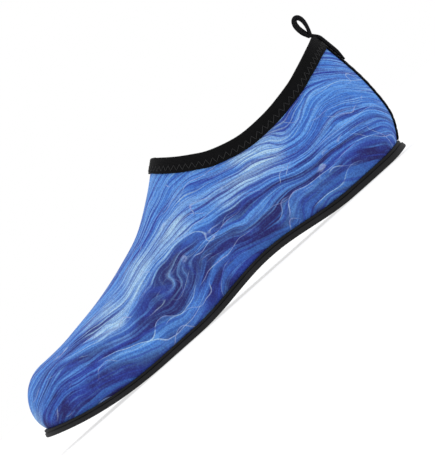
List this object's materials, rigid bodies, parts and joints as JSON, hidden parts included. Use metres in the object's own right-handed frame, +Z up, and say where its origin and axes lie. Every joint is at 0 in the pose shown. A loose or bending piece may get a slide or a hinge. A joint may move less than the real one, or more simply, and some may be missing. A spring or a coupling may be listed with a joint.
{
  "type": "water shoe",
  "caption": "Slip-on water shoe: hollow stretch-fabric sock, open at the collar, on a thin grooved rubber sole, with elastic collar binding, heel tape and pull loop.",
  "frame": {"origin": "middle of the shoe's bounding box, on the floor that the sole stands on", "axes": "+X to the toe, +Y to the outer side of the left foot, +Z up"},
  "size_m": [0.2672, 0.097, 0.0977],
  "materials": {
    "sole_rubber": "matte moulded rubber with a fine grain",
    "insole_foam": "foam covered with a dark knitted cloth",
    "printed_fabric": "knitted stretch cloth printed in blues",
    "elastic_tape": "matte black folded elastic",
    "webbing": "matte black woven tape"
  },
  "bodies": {
    "root": {"sole": "sole_rubber", "insole": "insole_foam", "upper": "printed_fabric", "collar_binding": "elastic_tape", "heel_tape": "elastic_tape", "pull_loop": "webbing"}
  },
  "joints": []
}
